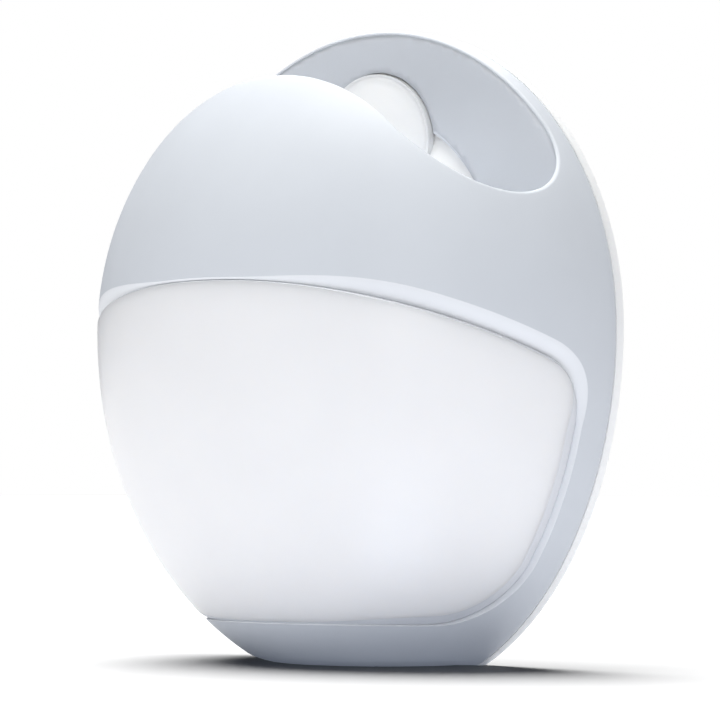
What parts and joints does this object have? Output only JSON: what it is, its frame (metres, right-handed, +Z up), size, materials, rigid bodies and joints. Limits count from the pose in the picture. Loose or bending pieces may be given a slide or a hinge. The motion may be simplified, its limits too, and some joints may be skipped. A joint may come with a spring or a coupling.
{
  "type": "wearable breast pump",
  "caption": "Wearable electric breast pump: domed hub with a viewing notch and keys, slide-off milk bottle in its bay and slide-off breast shield at the back.",
  "frame": {"origin": "centre of the bounding box on the surface that the pump stands on", "axes": "+Z up, -Y towards the front of the dome, X across; X = 0 is the plane of symmetry"},
  "size_m": [0.12, 0.056, 0.128],
  "materials": {
    "casing": "soft matt moulded plastic, cool grey white",
    "liner": "matt moulded plastic, slightly darker grey",
    "bottle_plastic": "milky translucent polypropylene",
    "shield_plastic": "frosted translucent polypropylene",
    "clear_silicone": "translucent silicone",
    "soft_seal": "matt grey silicone",
    "pad_rubber": "matt grey elastomer",
    "key_plastic": "satin moulded plastic",
    "black_plastic": "matt black plastic",
    "circuit_board": "green solder mask",
    "battery_wrap": "silver pouch foil",
    "light_guide": "clear light guide",
    "steel": "bright steel",
    "brass_part": "turned brass"
  },
  "bodies": {
    "hub": {"front_shell": "casing", "rear_shell": "casing", "shell_gasket": "soft_seal", "shell_screws": "steel", "bottle_cradle": "casing", "window_liner": "liner", "tunnel_socket": "casing", "status_light": "light_guide", "button_board_left": "circuit_board", "button_board_right": "circuit_board", "tact_switches": "black_plastic", "battery_left": "battery_wrap", "battery_right": "battery_wrap", "air_pump_left": "steel", "air_pump_right": "steel", "pump_mounts": "soft_seal", "vacuum_port": "black_plastic", "air_tube": "clear_silicone", "main_board": "circuit_board", "board_chips": "black_plastic", "pressure_sensor": "steel", "vent_valve_body": "brass_part", "vent_valve_spring": "steel", "usb_port": "steel", "foot_pad": "pad_rubber"},
    "vent_plunger": {"vent_valve_plunger": "steel"},
    "power_key": {"power_button": "key_plastic"},
    "play_key": {"play_button": "key_plastic"},
    "plus_key": {"plus_button": "key_plastic"},
    "minus_key": {"minus_button": "key_plastic"},
    "shield": {"breast_shield": "shield_plastic", "seal_membrane": "clear_silicone", "duckbill_valve": "clear_silicone"},
    "bottle_unit": {"bottle": "bottle_plastic", "bottle_collar": "bottle_plastic", "neck_gasket": "clear_silicone"}
  },
  "joints": [
    {"name": "bottle_slide", "type": "slide", "parent": "hub", "child": "bottle_unit", "axis": [0, -1, 0], "range_m": [0, 0.08]},
    {"name": "shield_slide", "type": "slide", "parent": "hub", "child": "shield", "axis": [0, 1, 0], "range_m": [0, 0.06]},
    {"name": "power_press", "type": "slide", "parent": "hub", "child": "power_key", "axis": [0, 0, -1], "range_m": [0, 0.0006], "stiffness_N_per_m": 1200, "springref_m": -0.0005},
    {"name": "play_press", "type": "slide", "parent": "hub", "child": "play_key", "axis": [0, 0, -1], "range_m": [0, 0.0006], "stiffness_N_per_m": 1200, "springref_m": -0.0005},
    {"name": "plus_press", "type": "slide", "parent": "hub", "child": "plus_key", "axis": [0, 0, -1], "range_m": [0, 0.0006], "stiffness_N_per_m": 1200, "springref_m": -0.0005},
    {"name": "minus_press", "type": "slide", "parent": "hub", "child": "minus_key", "axis": [0, 0, -1], "range_m": [0, 0.0006], "stiffness_N_per_m": 1200, "springref_m": -0.0005},
    {"name": "vent_press", "type": "slide", "parent": "hub", "child": "vent_plunger", "axis": [-1, 0, 0], "range_m": [0, 0.0011], "stiffness_N_per_m": 300, "springref_m": -0.001, "deforming": ["vent_valve_spring"]}
  ]
}
